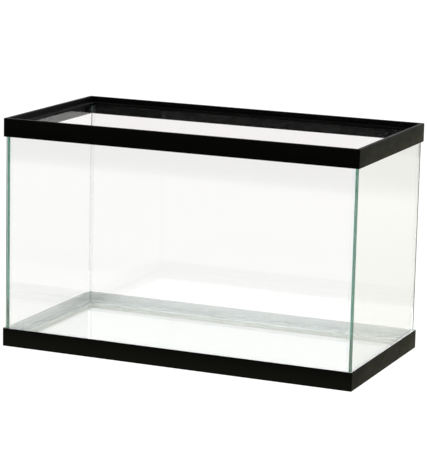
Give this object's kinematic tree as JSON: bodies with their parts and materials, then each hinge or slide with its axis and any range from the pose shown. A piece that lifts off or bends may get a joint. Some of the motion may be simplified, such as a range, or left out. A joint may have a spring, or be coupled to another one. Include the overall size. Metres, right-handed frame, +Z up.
{
  "type": "framed glass aquarium tank",
  "caption": "Rectangular glass aquarium tank with black plastic top and bottom frames, clear silicone seams, an open top and a recessed ledge for a lid or hood.",
  "frame": {"origin": "centre of the footprint, on the surface the tank stands on", "axes": "+X to the right along the length, +Y from the front pane to the back pane, +Z up"},
  "size_m": [0.5144, 0.2666, 0.3191],
  "materials": {
    "glass": "clear polished float glass with a faint green edge",
    "frame_plastic": "black moulded plastic, low satin sheen",
    "silicone": "clear cured silicone",
    "frame_adhesive": "light grey cured silicone, smeared against the glass"
  },
  "bodies": {
    "root": {"front_glass": "glass", "back_glass": "glass", "left_glass": "glass", "right_glass": "glass", "bottom_glass": "glass", "top_frame": "frame_plastic", "bottom_frame": "frame_plastic", "top_frame_adhesive": "frame_adhesive", "bottom_frame_adhesive": "frame_adhesive", "corner_bond_front_left": "silicone", "corner_bond_front_right": "silicone", "corner_bond_back_left": "silicone", "corner_bond_back_right": "silicone", "base_bond_front": "silicone", "base_bond_back": "silicone", "base_bond_left": "silicone", "base_bond_right": "silicone", "corner_seal_front_left": "silicone", "corner_seal_front_right": "silicone", "corner_seal_back_left": "silicone", "corner_seal_back_right": "silicone", "base_seal_front": "silicone", "base_seal_back": "silicone", "base_seal_left": "silicone", "base_seal_right": "silicone"}
  },
  "joints": []
}
